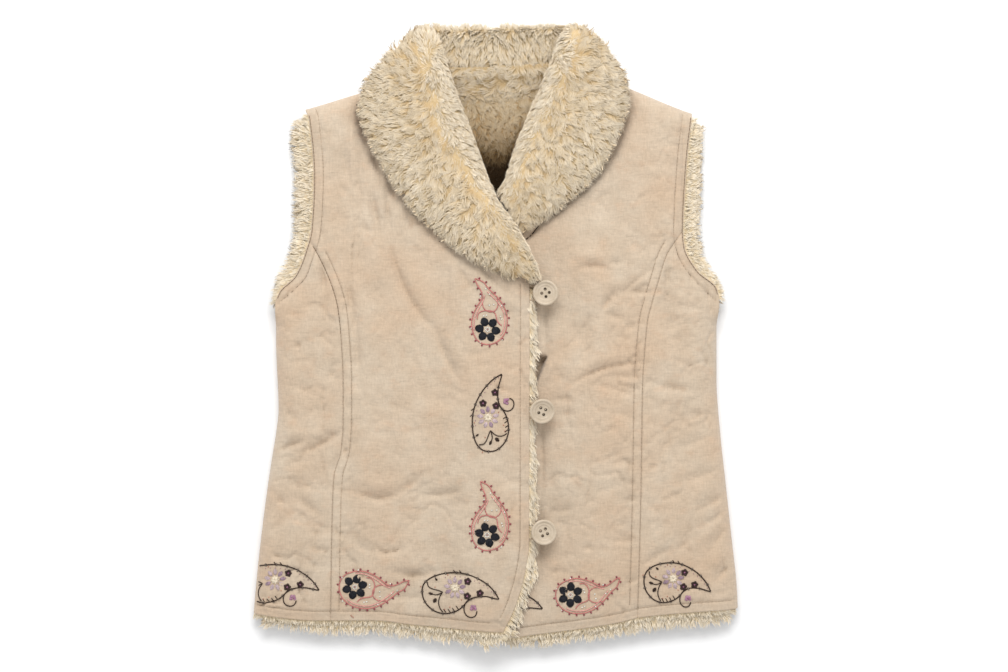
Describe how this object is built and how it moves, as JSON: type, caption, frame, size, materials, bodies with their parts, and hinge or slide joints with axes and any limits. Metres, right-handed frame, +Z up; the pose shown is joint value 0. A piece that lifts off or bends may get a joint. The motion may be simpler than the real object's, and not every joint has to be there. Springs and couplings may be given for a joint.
{
  "type": "embroidered waistcoat",
  "caption": "Buttoned waistcoat of brushed cloth with a deep pile lining, a wide pile shawl collar, princess seams and paisley embroidery, laid flat on its back",
  "frame": {"origin": "on the surface that the garment lies on, under the middle of its outline", "axes": "X towards the wearer's left, Y from the hem to the collar, Z up, away from the surface, with the front of the garment facing up"},
  "size_m": [0.4854, 0.6289, 0.0535],
  "materials": {
    "brushed_cloth": "brushed, matte",
    "pile": "long curly pile",
    "button": "satin",
    "thread": "twisted thread"
  },
  "bodies": {
    "root": {"back_panel": "brushed_cloth", "back_lining": "pile", "left_front_centre": "brushed_cloth", "left_front_side": "brushed_cloth", "left_front_lining": "pile", "right_front_centre": "brushed_cloth", "right_front_side": "brushed_cloth", "right_front_lining": "pile", "collar_back": "pile", "collar_left": "pile", "collar_right": "pile", "button_top": "button", "button_shank_top": "thread", "button_loop_top": "thread", "button_middle": "button", "button_shank_middle": "thread", "button_loop_middle": "thread", "button_bottom": "button", "button_shank_bottom": "thread", "button_loop_bottom": "thread"}
  },
  "joints": []
}
